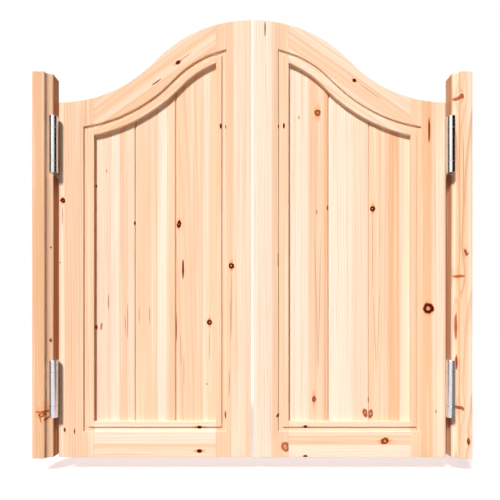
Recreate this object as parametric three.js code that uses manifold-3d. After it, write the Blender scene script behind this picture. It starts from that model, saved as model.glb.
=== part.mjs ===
// A pair of cafe swinging doors: two framed pine leaves with a swept top,
// hung on two moulded posts by four double-action spring hinges.
// Millimetres, +Z up, front toward -Y. The origin is on the doorway's centre
// line, at mid depth, level with the foot of the posts and leaves.
import * as THREE from 'three';
import { mergeVertices } from 'three/addons/utils/BufferGeometryUtils.js';
import Module from 'manifold-3d';

const wasm = await Module();
wasm.setup();

// Doorway
const OVERALL_WIDTH = 972;
const HINGE_GAP = 12; // between a post and the leaf that hangs on it
const MEETING_GAP = 6; // between the two leaves
const FIT = 0.25; // glued and seated faces
const SLIDE = 0.3; // tongues, tenons and turning fits

// Posts
const POST_WIDTH = 42;
const POST_DEPTH = 50;
const POST_HEIGHT = 855;
const POST_STRIP = 27.5; // flat strip on each face, along the outer side
const STRIP_ROUND = 2.5; // rounded arris where the strip ends
const QUIRK_DEPTH = 4.5; // square step behind the strip
const COVE_DEPTH = 11.2; // where the cove runs out at the inner side

// Leaves
const LEAF_HEIGHT = 976;
const SHOULDER_HEIGHT = 792; // top of a leaf at its hinge edge
const LEAF_THICKNESS = 28;
const STILE_WIDTH = 78;
const TOP_RAIL = 81; // measured square to the sweep
const BOTTOM_RAIL = 80;
const TENON_LENGTH = 40;
const TENON_THICKNESS = 9;
const TENON_SHOULDER = 15; // from the rail's outer edge to its tenon
const TENON_HAUNCH = 6; // wood left between a tenon and the panel's groove
const SWEEP_STEPS = 32; // facets of the sweep over one leaf's width

// Flat-bottomed channel routed round the opening on both faces
const CHANNEL_START = 12.5; // from the opening's edge
const CHANNEL_WIDTH = 10.5;
const CHANNEL_WALL = 2.6; // how far each wall slopes
const CHANNEL_DEPTH = 3.6;

// Matchboard panel
const BOARD_COUNT = 3;
const BOARD_THICKNESS = 11;
const BOARD_SEAT = 9; // how far the panel goes into the frame
const BOARD_GAP = 0.4;
const TONGUE_LENGTH = 5;
const TONGUE_THICKNESS = 3.6;
const BOARD_CHAMFER = 2.4;

// Spring hinges
const HINGE_LENGTH = 125;
const HINGE_HEIGHTS = { upper: 692, lower: 154 };
const AXIS_SPACING = 50; // between a hinge's two barrels
const BARREL_RADIUS = 9.5;
const BORE_RADIUS = 7;
const CASE_LENGTH = 74; // spring case between the two knuckles
const PLATE_THICKNESS = 2.5;
const PLATE_WIDTH = 26;
const PIN_RADIUS = 2.5;
const JOURNAL = 5; // how far pin and plug reach into the spring case
const PLUG_BORE = 9; // depth of the plug's bearing for the pin
const TOMMY_DROP = 16; // from the barrel's top to the tommy-bar holes
const TOMMY_RADIUS = 1.6;
const TOMMY_ANGLE = 0.4; // turned from straight out toward the post
const WINDOW_RADIUS = 2.2;
const SCREW_HOLE_RADIUS = 2.6;
const SCREW_HEIGHTS = [-48, -17, 17, 48];
const SCREW_STAGGER = 5.5;
const SPRING_WIRE = 1.1; // radius
const SPRING_TURNS = 6;
const SPRING_STEPS = 8;
const SPRING_SIDES = 5;
const BARREL_SIDES = 16;
const BORE_SIDES = 12;

// Sizes that follow from those above
const LEAF_WIDTH = OVERALL_WIDTH / 2 - POST_WIDTH - HINGE_GAP - MEETING_GAP / 2;
const LEAF_EDGE = MEETING_GAP / 2 + LEAF_WIDTH;
const AXIS_X = LEAF_EDGE + HINGE_GAP / 2;
const AXIS_Y = AXIS_SPACING / 2;
const RISE = LEAF_HEIGHT - SHOULDER_HEIGHT;
const SWEEP_RADIUS = (LEAF_WIDTH ** 2 + RISE ** 2) / (4 * RISE);
const SWEEP_ANGLE = 2 * Math.atan(RISE / LEAF_WIDTH);
const PANEL_RIGHT = LEAF_WIDTH - STILE_WIDTH;
const BOARD_PITCH = (PANEL_RIGHT - STILE_WIDTH) / BOARD_COUNT;
const TENON_TOP = BOTTOM_RAIL - BOARD_SEAT - TENON_HAUNCH;

const PINE = new THREE.MeshStandardMaterial({ color: 0xf4d6ab, roughness: 0.6, metalness: 0 });
const STEEL = new THREE.MeshStandardMaterial({ color: 0xb4b7ba, roughness: 0.35, metalness: 1 });
const SPRING_STEEL = new THREE.MeshStandardMaterial({ color: 0x6f7276, roughness: 0.45, metalness: 1 });

// Closed solid of a three.js geometry
function solid(geometry) {
  geometry.deleteAttribute('normal');
  geometry.deleteAttribute('uv');
  const merged = mergeVertices(geometry, 1e-4);
  const corners = merged.index.array;
  const kept = [];
  for (let i = 0; i < corners.length; i += 3) {
    const [a, b, c] = corners.slice(i, i + 3);
    if (a !== b && b !== c && c !== a) {
      kept.push(a, b, c);
    }
  }
  const vertProperties = Float32Array.from(merged.attributes.position.array);
  const triVerts = Uint32Array.from(kept);
  return new wasm.Manifold(new wasm.Mesh({ numProp: 3, vertProperties, triVerts }));
}

// three.js geometry of a closed solid
function geometryOf(body) {
  const mesh = body.getMesh();
  const points = [];
  for (let i = 0; i < mesh.vertProperties.length; i += mesh.numProp) {
    points.push(...mesh.vertProperties.slice(i, i + 3));
  }
  const geometry = new THREE.BufferGeometry();
  geometry.setAttribute('position', new THREE.Float32BufferAttribute(points, 3));
  geometry.setIndex(Array.from(mesh.triVerts));
  geometry.computeVertexNormals();
  return geometry;
}

// Box between two corners
function block(low, high) {
  const size = high.map((value, i) => value - low[i]);
  const box = new THREE.BoxGeometry(...size);
  box.translate(...low.map((value, i) => value + size[i] / 2));
  return solid(box);
}

// Upright outline of [x, z] points, extruded from the front to the back
function slab(outline, front, back) {
  const shape = new THREE.Shape(outline.map(([x, z]) => new THREE.Vector2(x, z)));
  const body = new THREE.ExtrudeGeometry(shape, { depth: back - front, bevelEnabled: false });
  body.rotateX(Math.PI / 2);
  body.translate(0, back, 0);
  return solid(body);
}

// Flat outline of [x, y] points, extruded upward
function column(outline, foot, top) {
  const shape = new THREE.Shape(outline.map(([x, y]) => new THREE.Vector2(x, y)));
  const body = new THREE.ExtrudeGeometry(shape, { depth: top - foot, bevelEnabled: false });
  body.translate(0, 0, foot);
  return solid(body);
}

// Profile of [radius, z] points turned about an upright axis at (0, y)
function turned(profile, sides, y) {
  const points = profile.map(([radius, z]) => new THREE.Vector2(radius, z));
  const body = new THREE.LatheGeometry(points, sides);
  body.rotateX(Math.PI / 2);
  body.scale(1, -1, 1);
  body.setIndex(Array.from(body.index.array).reverse());
  body.translate(0, y, 0);
  return solid(body);
}

// Upright tube about an axis at (0, y)
function tube(inner, outer, foot, top, y) {
  const wall = turned([[0, foot], [outer, foot], [outer, top], [0, top]], BARREL_SIDES, y);
  const bore = turned([[0, foot - 1], [inner, foot - 1], [inner, top + 1], [0, top + 1]], BORE_SIDES, y);
  return wall.subtract(bore);
}

// Round bar between two points
function rod(radius, sides, from, to) {
  const start = new THREE.Vector3(...from);
  const run = new THREE.Vector3(...to).sub(start);
  const body = new THREE.CylinderGeometry(radius, radius, run.length(), sides);
  body.applyQuaternion(new THREE.Quaternion().setFromUnitVectors(new THREE.Vector3(0, 1, 0), run.clone().normalize()));
  body.translate(...start.addScaledVector(run, 0.5).toArray());
  return solid(body);
}

// Height of the line parallel to a leaf's swept top, at a distance below it,
// u from the hinge edge: a hollow and then a crown of one radius
function sweepHeight(u, inset) {
  const hollow = SWEEP_RADIUS + inset;
  const crown = SWEEP_RADIUS - inset;
  if (u <= hollow * Math.sin(SWEEP_ANGLE)) {
    return SHOULDER_HEIGHT + SWEEP_RADIUS - Math.sqrt(hollow ** 2 - u ** 2);
  }
  return LEAF_HEIGHT - SWEEP_RADIUS + Math.sqrt(crown ** 2 - (LEAF_WIDTH - u) ** 2);
}

// Point of that line at one facet's corner. All pieces share these corners,
// square to the sweep from each other, so parallel lines stay parallel
function sweepCorner(step, inset) {
  const turn = SWEEP_ANGLE * (1 - Math.abs(1 - (2 * step) / SWEEP_STEPS));
  const hollow = SWEEP_RADIUS + inset;
  const crown = SWEEP_RADIUS - inset;
  if (2 * step <= SWEEP_STEPS) {
    return [hollow * Math.sin(turn), SHOULDER_HEIGHT + SWEEP_RADIUS - hollow * Math.cos(turn)];
  }
  return [LEAF_WIDTH - crown * Math.sin(turn), LEAF_HEIGHT - SWEEP_RADIUS + crown * Math.cos(turn)];
}

// Facets' corners that lie between two places on that line
function sweepSteps(from, to, inset) {
  const steps = [];
  for (let step = 1; step < SWEEP_STEPS; step += 1) {
    const [u] = sweepCorner(step, inset);
    if (u > from + 1 && u < to - 1) {
      steps.push(step);
    }
  }
  return steps;
}

// Points of that line between two places
function sweepLine(from, to, inset) {
  const corners = sweepSteps(from, to, inset).map((step) => sweepCorner(step, inset));
  return [[from, sweepHeight(from, inset)], ...corners, [to, sweepHeight(to, inset)]];
}

// Outline of the panel opening, grown by a distance on all sides
function openingOutline(grown) {
  const left = STILE_WIDTH - grown;
  const right = PANEL_RIGHT + grown;
  const top = sweepLine(left, right, TOP_RAIL - grown).reverse();
  return [[left, BOTTOM_RAIL - grown], [right, BOTTOM_RAIL - grown], ...top];
}

// Channel cutter round the opening, on the front face (side -1) or the back (1)
function channelCutter(side) {
  const over = 0.5;
  const flare = (CHANNEL_WALL * over) / CHANNEL_DEPTH;
  const inner = CHANNEL_START;
  const outer = CHANNEL_START + CHANNEL_WIDTH;
  const face = LEAF_THICKNESS / 2;
  const mouth = side * (face + over);
  const floor = side * (face - CHANNEL_DEPTH);
  const loops = [
    loopPoints(outer + flare, mouth),
    loopPoints(outer - CHANNEL_WALL, floor),
    loopPoints(inner + CHANNEL_WALL, floor),
    loopPoints(inner - flare, mouth),
  ];
  const count = loops[0].length;
  const index = [];
  for (let k = 0; k < loops.length; k += 1) {
    const here = k * count;
    const next = ((k + 1) % loops.length) * count;
    for (let i = 0; i < count; i += 1) {
      const j = (i + 1) % count;
      index.push(here + i, here + j, next + j, here + i, next + j, next + i);
    }
  }
  const geometry = new THREE.BufferGeometry();
  geometry.setAttribute('position', new THREE.Float32BufferAttribute(loops.flat(2), 3));
  geometry.setIndex(side < 0 ? index.reverse() : index);
  return solid(geometry);
}

// Points round the opening, grown by a distance, on the facets of the sweep
function loopPoints(grown, y) {
  const left = STILE_WIDTH - grown;
  const right = PANEL_RIGHT + grown;
  const inset = TOP_RAIL - grown;
  const steps = sweepSteps(STILE_WIDTH, PANEL_RIGHT, TOP_RAIL - CHANNEL_START).reverse();
  const corners = steps.map((step) => sweepCorner(step, inset));
  const top = [[right, sweepHeight(right, inset)], ...corners, [left, sweepHeight(left, inset)]];
  const outline = [[left, BOTTOM_RAIL - grown], [right, BOTTOM_RAIL - grown], ...top];
  return outline.map(([x, z]) => [x, y, z]);
}

// Solid turned half a turn about the upright axis
function turnedAbout(geometry) {
  const copy = geometry.clone();
  copy.scale(-1, -1, 1);
  return copy;
}

// Moulded post on the left: strip, quirk and cove on both faces
function postGeometry() {
  const outer = -OVERALL_WIDTH / 2;
  const half = [[0, 0]];
  for (let i = 0; i <= 3; i += 1) {
    const turn = (i * Math.PI) / 6;
    half.push([POST_STRIP - STRIP_ROUND * (1 - Math.sin(turn)), STRIP_ROUND * (1 - Math.cos(turn))]);
  }
  for (let i = 0; i <= 5; i += 1) {
    const run = i / 5;
    const fall = 1 - (1 - run) ** 2;
    half.push([POST_STRIP + (POST_WIDTH - POST_STRIP) * run, QUIRK_DEPTH + (COVE_DEPTH - QUIRK_DEPTH) * fall]);
  }
  const front = half.map(([x, depth]) => [outer + x, depth - POST_DEPTH / 2]);
  const back = half.map(([x, depth]) => [outer + x, POST_DEPTH / 2 - depth]).reverse();
  return geometryOf(column([...front, ...back], 0, POST_HEIGHT));
}

// Wooden pieces of the left leaf, by name
function leafPieces() {
  const front = -LEAF_THICKNESS / 2;
  const back = LEAF_THICKNESS / 2;
  const upright = (from, to) => slab([[from, 0], [to, 0], ...sweepLine(from, to, 0).reverse()], front, back);
  const tenonBox = (from, to, low, high, spare) =>
    block([from - spare, -TENON_THICKNESS / 2 - spare, low - spare], [to + spare, TENON_THICKNESS / 2 + spare, high + spare]);

  const hingeSide = [STILE_WIDTH - TENON_LENGTH, STILE_WIDTH + TENON_LENGTH];
  const meetingSide = [PANEL_RIGHT - TENON_LENGTH, PANEL_RIGHT + TENON_LENGTH];
  const tenons = {
    hingeFoot: [...hingeSide, TENON_SHOULDER, TENON_TOP],
    meetingFoot: [...meetingSide, TENON_SHOULDER, TENON_TOP],
    hingeHead: [
      ...hingeSide,
      sweepHeight(STILE_WIDTH, TOP_RAIL - BOARD_SEAT) + TENON_HAUNCH,
      sweepHeight(hingeSide[0], 0) - TENON_SHOULDER,
    ],
    meetingHead: [
      ...meetingSide,
      sweepHeight(PANEL_RIGHT + BOARD_SEAT, TOP_RAIL - BOARD_SEAT) + TENON_HAUNCH,
      sweepHeight(meetingSide[0], 0) - TENON_SHOULDER,
    ],
  };

  const grown = BOARD_SEAT + SLIDE;
  const groove = slab(openingOutline(grown), -BOARD_THICKNESS / 2 - SLIDE, BOARD_THICKNESS / 2 + SLIDE);
  const frameCut = (body) => body.subtract(channelCutter(-1)).subtract(channelCutter(1)).subtract(groove);
  const mortised = (body, ...names) =>
    names.reduce((rest, name) => rest.subtract(tenonBox(...tenons[name], SLIDE)), body);

  const hingeStile = mortised(frameCut(upright(0, STILE_WIDTH)), 'hingeFoot', 'hingeHead');
  const meetingStile = mortised(frameCut(upright(PANEL_RIGHT, LEAF_WIDTH)), 'meetingFoot', 'meetingHead');

  const left = STILE_WIDTH + FIT;
  const right = PANEL_RIGHT - FIT;
  const crown = sweepLine(left, right, 0).reverse();
  const arch = sweepLine(left, right, TOP_RAIL);
  const topRail = frameCut(slab([...arch, ...crown], front, back))
    .add(tenonBox(tenons.hingeHead[0], left + 1, tenons.hingeHead[2], tenons.hingeHead[3], 0))
    .add(tenonBox(right - 1, tenons.meetingHead[1], tenons.meetingHead[2], tenons.meetingHead[3], 0));
  const bottomRail = frameCut(block([left, front, 0], [right, back, BOTTOM_RAIL]))
    .add(tenonBox(tenons.hingeFoot[0], left + 1, tenons.hingeFoot[2], tenons.hingeFoot[3], 0))
    .add(tenonBox(right - 1, tenons.meetingFoot[1], tenons.meetingFoot[2], tenons.meetingFoot[3], 0));

  const pieces = {
    hinge_stile: hingeStile,
    meeting_stile: meetingStile,
    top_rail: topRail,
    bottom_rail: bottomRail,
  };
  const panel = slab(openingOutline(BOARD_SEAT), -BOARD_THICKNESS, BOARD_THICKNESS);
  for (let i = 0; i < BOARD_COUNT; i += 1) {
    const section = column(boardSection(i), 0, LEAF_HEIGHT);
    pieces[`board_${i + 1}`] = section.intersect(panel);
  }
  return pieces;
}

// Section of one matchboard: groove toward the hinge, tongue toward the
// meeting edge, and a chamfer on both faces of each joint
function boardSection(place) {
  const half = BOARD_THICKNESS / 2;
  const first = place === 0;
  const last = place === BOARD_COUNT - 1;
  const left = STILE_WIDTH + BOARD_PITCH * place + (first ? -BOARD_SEAT - 1 : BOARD_GAP / 2);
  const right = STILE_WIDTH + BOARD_PITCH * (place + 1) + (last ? BOARD_SEAT + 1 : -BOARD_GAP / 2);
  const slot = TONGUE_THICKNESS / 2 + SLIDE;
  const tongue = TONGUE_THICKNESS / 2;
  const deep = TONGUE_LENGTH + SLIDE;
  const leftEdge = first
    ? [[left, half], [left, -half]]
    : [
      [left + BOARD_CHAMFER, half],
      [left, half - BOARD_CHAMFER],
      [left, slot],
      [left + deep, slot],
      [left + deep, -slot],
      [left, -slot],
      [left, BOARD_CHAMFER - half],
      [left + BOARD_CHAMFER, -half],
    ];
  const rightEdge = last
    ? [[right, -half], [right, half]]
    : [
      [right - BOARD_CHAMFER, -half],
      [right, BOARD_CHAMFER - half],
      [right, -tongue],
      [right + TONGUE_LENGTH, -tongue],
      [right + TONGUE_LENGTH, tongue],
      [right, tongue],
      [right, half - BOARD_CHAMFER],
      [right - BOARD_CHAMFER, half],
    ];
  return [...leftEdge, ...rightEdge];
}

// Flange with its two knuckles, on the post's side of a hinge; the window for
// the tommy bar turns toward that side or away from it
function flange(windowTurn) {
  const top = HINGE_LENGTH / 2;
  const caseTop = CASE_LENGTH / 2 + SLIDE;
  const outer = -HINGE_GAP / 2 + FIT;
  const inner = outer + PLATE_THICKNESS;
  const wall = (BARREL_RADIUS + BORE_RADIUS) / 2;
  const root = -AXIS_Y + Math.sqrt(wall ** 2 - ((outer + inner) / 2) ** 2);
  let body = block([outer, -PLATE_WIDTH / 2, -top], [inner, PLATE_WIDTH / 2, top]);
  for (const [foot, head] of [[-top, -caseTop], [caseTop, top]]) {
    body = body.add(block([outer, root, foot], [inner, 0, head]));
    body = body.add(tube(BORE_RADIUS, BARREL_RADIUS, foot, head, -AXIS_Y));
  }
  const height = top - TOMMY_DROP;
  const reach = BARREL_RADIUS + 1;
  const mouth = [windowTurn * reach * Math.sin(TOMMY_ANGLE), -AXIS_Y - reach * Math.cos(TOMMY_ANGLE), height];
  body = body.subtract(rod(WINDOW_RADIUS, 8, [0, -AXIS_Y, height], mouth));
  SCREW_HEIGHTS.forEach((z, i) => {
    const y = SCREW_STAGGER * (i % 2 ? 1 : -1);
    body = body.subtract(rod(SCREW_HOLE_RADIUS, 8, [outer - 1, y, z], [inner + 1, y, z]));
  });
  return body;
}

// Web between the barrels, with both spring cases
function web() {
  const top = HINGE_LENGTH / 2;
  const caseTop = CASE_LENGTH / 2;
  const half = PLATE_THICKNESS / 2;
  const edge = AXIS_Y - BARREL_RADIUS - 1;
  const root = AXIS_Y - (BARREL_RADIUS + BORE_RADIUS) / 2;
  return block([-half, -edge, -top], [half, edge, top])
    .add(block([-half, -root, -caseTop], [half, root, caseTop]))
    .add(tube(BORE_RADIUS, BARREL_RADIUS, -caseTop, caseTop, -AXIS_Y))
    .add(tube(BORE_RADIUS, BARREL_RADIUS, -caseTop, caseTop, AXIS_Y));
}

// Turned pin: foot in the lower knuckle, journal in the case, spindle above
function pin() {
  const foot = -HINGE_LENGTH / 2 + FIT;
  const journal = -CASE_LENGTH / 2 + JOURNAL;
  const tip = CASE_LENGTH / 2 - JOURNAL + PLUG_BORE - SLIDE;
  const body = BORE_RADIUS - SLIDE;
  const profile = [
    [0, foot],
    [body, foot],
    [body, journal],
    [PIN_RADIUS, journal],
    [PIN_RADIUS, tip],
    [0, tip],
  ];
  return turned(profile, BORE_SIDES, -AXIS_Y);
}

// Tension plug in the upper knuckle, drilled for the tommy bar
function plug(windowTurn) {
  const top = HINGE_LENGTH / 2 - FIT;
  const journal = CASE_LENGTH / 2 - JOURNAL;
  const body = BORE_RADIUS - SLIDE;
  const bore = PIN_RADIUS + SLIDE;
  const profile = [
    [0, journal + PLUG_BORE],
    [bore, journal + PLUG_BORE],
    [bore, journal],
    [body, journal],
    [body, top],
    [0, top],
  ];
  const height = HINGE_LENGTH / 2 - TOMMY_DROP;
  const x = windowTurn * BARREL_RADIUS * Math.sin(TOMMY_ANGLE);
  const y = BARREL_RADIUS * Math.cos(TOMMY_ANGLE);
  return turned(profile, BORE_SIDES, -AXIS_Y)
    .subtract(rod(TOMMY_RADIUS, 6, [-x, -AXIS_Y + y, height], [x, -AXIS_Y - y, height]))
    .subtract(rod(TOMMY_RADIUS, 6, [-y, -AXIS_Y - x, height], [y, -AXIS_Y + x, height]));
}

// Torsion spring in its case
function spring() {
  const radius = BORE_RADIUS - SLIDE * 2 - SPRING_WIRE;
  const low = -CASE_LENGTH / 2 + JOURNAL + SPRING_WIRE + SLIDE;
  const pitch = (-2 * low) / SPRING_TURNS;
  const rings = SPRING_TURNS * SPRING_STEPS;
  const points = [];
  for (let i = 0; i <= rings; i += 1) {
    const turn = (2 * Math.PI * i) / SPRING_STEPS;
    for (let k = 0; k < SPRING_SIDES; k += 1) {
      const side = (2 * Math.PI * k) / SPRING_SIDES;
      const out = radius + SPRING_WIRE * Math.cos(side);
      const z = low + (pitch * i) / SPRING_STEPS + SPRING_WIRE * Math.sin(side);
      points.push(out * Math.cos(turn), out * Math.sin(turn) - AXIS_Y, z);
    }
  }
  const index = [];
  for (let i = 0; i < rings; i += 1) {
    for (let k = 0; k < SPRING_SIDES; k += 1) {
      const a = i * SPRING_SIDES + k;
      const b = i * SPRING_SIDES + ((k + 1) % SPRING_SIDES);
      index.push(a, a + SPRING_SIDES, b, b, a + SPRING_SIDES, b + SPRING_SIDES);
    }
  }
  const end = rings * SPRING_SIDES;
  for (let k = 1; k < SPRING_SIDES - 1; k += 1) {
    index.push(0, k, k + 1, end, end + k + 1, end + k);
  }
  const geometry = new THREE.BufferGeometry();
  geometry.setAttribute('position', new THREE.Float32BufferAttribute(points, 3));
  geometry.setIndex(index);
  return { geometry, gap: pitch - 2 * SPRING_WIRE };
}

const doors = new THREE.Group();

function addPiece(name, geometry, material, x = 0, z = 0) {
  const mesh = new THREE.Mesh(geometry, material);
  mesh.name = name;
  mesh.position.set(x, 0, z);
  doors.add(mesh);
}

// Each piece on the left, and the same turned half a turn on the right
function addPair(name, geometry, material, x, z) {
  addPiece(`left_${name}`, geometry, material, x, z);
  addPiece(`right_${name}`, turnedAbout(geometry), material, -x, z);
}

addPair('post', postGeometry(), PINE, 0, 0);
for (const [name, body] of Object.entries(leafPieces())) {
  addPair(name, geometryOf(body), PINE, -LEAF_EDGE, 0);
}

const coil = spring();
console.log(`least gap between spring turns: ${coil.gap.toFixed(2)} mm`);
const hingePieces = {
  web: [geometryOf(web()), STEEL],
  jamb_flange: [geometryOf(flange(-1)), STEEL],
  jamb_pin: [geometryOf(pin()), STEEL],
  jamb_plug: [geometryOf(plug(-1)), STEEL],
  jamb_spring: [coil.geometry, SPRING_STEEL],
  door_flange: [turnedAbout(geometryOf(flange(1))), STEEL],
  door_pin: [turnedAbout(geometryOf(pin())), STEEL],
  door_plug: [turnedAbout(geometryOf(plug(1))), STEEL],
  door_spring: [turnedAbout(coil.geometry), SPRING_STEEL],
};
for (const [place, height] of Object.entries(HINGE_HEIGHTS)) {
  for (const [name, [geometry, material]] of Object.entries(hingePieces)) {
    addPair(`${place}_${name}`, geometry, material, -AXIS_X, height);
  }
}

export default doors;
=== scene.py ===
"""Cafe swinging doors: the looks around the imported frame.

Every wooden piece keeps the shape that the frame gives it, with its arrises
eased, and is cut from a plank of its own: growth rings about a pith, fibres,
glued-up strips of different colour and knots. The spring hinges are
satin steel, held by raised-head wood screws.
"""

import logging
import math
from dataclasses import dataclass, field
from enum import Enum
from typing import ClassVar

import bmesh
import bpy
from mathutils import Euler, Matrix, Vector

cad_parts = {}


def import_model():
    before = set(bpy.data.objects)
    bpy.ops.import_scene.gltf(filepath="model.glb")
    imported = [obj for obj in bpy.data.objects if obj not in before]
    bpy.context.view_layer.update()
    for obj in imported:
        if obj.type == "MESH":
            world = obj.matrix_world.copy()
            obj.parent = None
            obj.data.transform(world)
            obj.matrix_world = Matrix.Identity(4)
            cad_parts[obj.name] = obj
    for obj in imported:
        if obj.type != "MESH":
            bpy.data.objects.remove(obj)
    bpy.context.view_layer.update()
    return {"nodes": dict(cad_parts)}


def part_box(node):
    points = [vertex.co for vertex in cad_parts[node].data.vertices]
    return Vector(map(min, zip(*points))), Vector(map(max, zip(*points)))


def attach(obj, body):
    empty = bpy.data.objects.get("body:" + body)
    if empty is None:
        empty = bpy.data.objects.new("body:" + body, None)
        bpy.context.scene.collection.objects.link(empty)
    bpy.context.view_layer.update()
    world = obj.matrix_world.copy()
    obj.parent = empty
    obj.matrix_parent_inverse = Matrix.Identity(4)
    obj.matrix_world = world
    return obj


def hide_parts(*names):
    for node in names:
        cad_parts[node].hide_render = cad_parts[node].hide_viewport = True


LOG = logging.getLogger("cafe_doors")
MM = 0.001
BARREL_X = 0.438  # from the doors' middle to the barrels' axes, metres
MATH, VECTOR_MATH = "ShaderNodeMath", "ShaderNodeVectorMath"
MAP_RANGE, SMOOTH = "ShaderNodeMapRange", {"interpolation_type": "SMOOTHSTEP"}


def linear(hex_colour: str) -> tuple[float, float, float, float]:
    """Turns an sRGB hex colour into linear RGBA.

    Args:
        hex_colour: a colour such as "#F4D6AB".

    Returns:
        The linear red, green, blue and a full alpha.
    """
    channels = [int(hex_colour[i : i + 2], 16) / 255 for i in (1, 3, 5)]
    low, high = (lambda c: c / 12.92), (lambda c: ((c + 0.055) / 1.055) ** 2.4)
    red, green, blue = (low(c) if c <= 0.04045 else high(c) for c in channels)
    return red, green, blue, 1.0


def add_node(
    tree: bpy.types.NodeTree, kind: str, feeds: dict | None = None, **settings: object
) -> bpy.types.Node:
    """Adds one node with its settings, socket values and links.

    Args:
        tree: the node tree that takes the node.
        kind: the node's type name.
        feeds: by input name or number, a value, the socket that feeds it or a
            list of such sockets.
        **settings: properties of the node itself.

    Returns:
        The new node.
    """
    node = tree.nodes.new(kind)
    for name, value in settings.items():
        setattr(node, name, value)
    for key, value in (feeds or {}).items():
        for source in value if isinstance(value, list) else [value]:
            if isinstance(source, bpy.types.NodeSocket):
                tree.links.new(source, node.inputs[key])
            else:
                node.inputs[key].default_value = source
    return node


def new_material(name: str) -> tuple[bpy.types.Material, bpy.types.NodeTree]:
    """Makes an empty node material.

    Args:
        name: the real material's name.

    Returns:
        The material and its node tree.
    """
    material = bpy.data.materials.new(name)
    material.use_nodes = True
    material.node_tree.nodes.clear()
    return material, material.node_tree


# Pine


class Tint(Enum):
    """Colours of planed pine, from the palest sapwood to resin and knots, and painted shade."""

    SAPWOOD = "#FEEBD5"
    CREAM = "#FDE2C7"
    BLUSH = "#FBDCC2"
    PEACH = "#F9D3B1"
    HONEY = "#F4C298"
    AMBER = "#EAAD7C"
    # Painted shade, not a wood colour: darkens the post and leaf faces inside the hinge gaps
    PAINTED_GAP_SHADE = "#C67E48"
    LATEWOOD = "#D29264"
    PITCH = "#F0A055"
    RESIN = "#BC4E0E"
    KNOT_RIM = "#581506"
    KNOT_HEART = "#DC9A74"


@dataclass(frozen=True)
class Knot:
    """A branch cut across by the saw, or a resin mark, at a place on the doors.

    Attributes:
        across: place along the doors' width, mm.
        height: place above the foot, mm.
        radius: half its width across the grain, mm.
        stretch: its length along the grain over its width.
        strength: how dark it is, from 0 to 1.
        heart: share of its radius that is pale inside the dark ring.
        tilt: turn of its long axis from the grain, degrees.
        flame: how far resin runs along the grain from it, over its radius.
    """

    across: float
    height: float
    radius: float = 2.4
    stretch: float = 1.25
    strength: float = 1.0
    heart: float = 0.0
    tilt: float = 0.0
    flame: float = 4.0


@dataclass(frozen=True)
class Plank:
    """The wood that one piece was made from.

    Attributes:
        seed: start of the piece's own noise.
        bands: colours of the glued-up strips and of the painted shade on the
        faces inside the hinge gaps, each with where it begins: along the
        doors' width, mm; in a level rail, above the foot; in a leaning
        one, above its middle line.
        knots: the branches and marks that show.
        lean: turn of the grain from upright toward +X, degrees.
        pith: the log's centre line from the piece's middle, across and deep, mm.
        twist: angle between pith and grain, across and deep, degrees.
        ring: one year's growth, mm.
        streak: how strongly darker stripes show, from 0 to 1.
        lines: how strongly the year lines show, from 0 to 1.
    """

    seed: float
    bands: tuple[tuple[float, Tint], ...]
    knots: tuple[Knot, ...] = ()
    lean: float = 0.0
    pith: tuple[float, float] = (-150.0, 90.0)
    twist: tuple[float, float] = (0.5, 0.5)
    ring: float = 5.4
    streak: float = 0.5
    lines: float = 0.24

    @property
    def turn(self) -> Euler:
        """Turn from the doors' frame to the grain's."""
        return Euler((0.0, -math.radians(self.lean), 0.0))

    def marks(self, middle: Vector, half: float, blur: float) -> list[tuple[float, Tint]]:
        """Turns the bands into the stops of a colour ramp.

        Args:
            middle: the piece's middle, mm.
            half: half the ramp's length, mm.
            blur: half the width of a seam between bands, mm.

        Returns:
            Place and tint of each stop.
        """
        zero = {0.0: middle.x, 90.0: middle.z}.get(abs(self.lean), 0.0)
        stops = [(0.0, self.bands[0][1])]
        for (_, before), (start, after) in zip(self.bands, self.bands[1:]):
            for place, tint in ((start - blur, before), (start + blur, after)):
                stops.append((0.5 + (place - zero) / (2 * half), tint))
        return [*stops, (1.0, self.bands[-1][1])]


@dataclass(frozen=True)
class Rise:
    """Where a value begins to show, where it shows in full, and how much then.

    Attributes:
        none: where nothing shows yet.
        full: where it shows in full, on either side of none.
        top: how much shows there.
    """

    none: float
    full: float
    top: float = 1.0

    def of(self, value: object) -> dict:
        """Gives a Map Range node's feeds for a value."""
        return {"Value": value, 1: self.none, 2: self.full, 4: self.top}


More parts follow.
